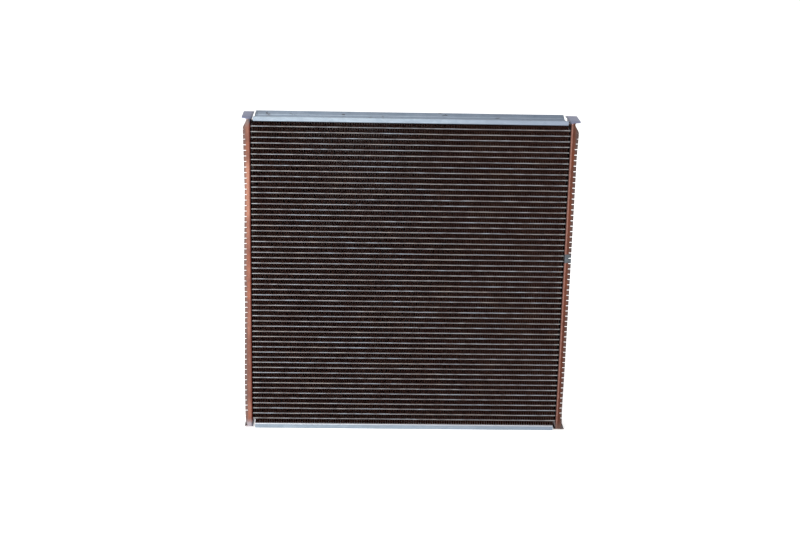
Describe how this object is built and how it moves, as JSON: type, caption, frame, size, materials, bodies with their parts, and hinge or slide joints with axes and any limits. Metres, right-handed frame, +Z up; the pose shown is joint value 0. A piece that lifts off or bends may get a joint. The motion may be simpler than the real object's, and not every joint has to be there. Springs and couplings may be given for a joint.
{
  "type": "radiator core",
  "caption": "Cross-flow radiator core without tanks: flat tubes and corrugated copper fins between two toothed header plates, with steel channels above and below.",
  "frame": {"origin": "bottom centre of the core, on the floor under the edges of the lower side plate", "axes": "+X along the tubes to the right, +Y through the core's thickness to the rear, +Z up"},
  "size_m": [0.627, 0.066, 0.6151],
  "materials": {
    "header_brass": "satin, tarnished",
    "tube_solder": "satin",
    "fin_copper": "matte, darkened",
    "side_steel": "satin"
  },
  "bodies": {
    "root": {"header_plate_left": "header_brass", "header_plate_right": "header_brass", "side_plate_top": "side_steel", "side_plate_bottom": "side_steel", "fin_bank": "fin_copper", "tube_01": "tube_solder", "tube_02": "tube_solder", "tube_03": "tube_solder", "tube_04": "tube_solder", "tube_05": "tube_solder", "tube_06": "tube_solder", "tube_07": "tube_solder", "tube_08": "tube_solder", "tube_09": "tube_solder", "tube_10": "tube_solder", "tube_11": "tube_solder", "tube_12": "tube_solder", "tube_13": "tube_solder", "tube_14": "tube_solder", "tube_15": "tube_solder", "tube_16": "tube_solder", "tube_17": "tube_solder", "tube_18": "tube_solder", "tube_19": "tube_solder", "tube_20": "tube_solder", "tube_21": "tube_solder", "tube_22": "tube_solder", "tube_23": "tube_solder", "tube_24_25": "tube_solder", "tube_26": "tube_solder", "tube_27": "tube_solder", "tube_28": "tube_solder", "tube_29": "tube_solder", "tube_30": "tube_solder", "tube_31": "tube_solder", "tube_32": "tube_solder", "tube_33": "tube_solder", "tube_34": "tube_solder", "tube_35": "tube_solder", "tube_36": "tube_solder", "tube_37": "tube_solder", "tube_38": "tube_solder", "tube_39": "tube_solder", "tube_40": "tube_solder", "tube_41": "tube_solder", "tube_42": "tube_solder", "tube_43": "tube_solder", "tube_44": "tube_solder", "tube_45": "tube_solder", "tube_46": "tube_solder", "tube_47": "tube_solder", "tube_48": "tube_solder", "tube_49": "tube_solder", "tube_50": "tube_solder", "tube_51": "tube_solder", "tube_52": "tube_solder", "tube_53": "tube_solder", "tube_54": "tube_solder", "tube_55": "tube_solder", "tube_56": "tube_solder"}
  },
  "joints": []
}
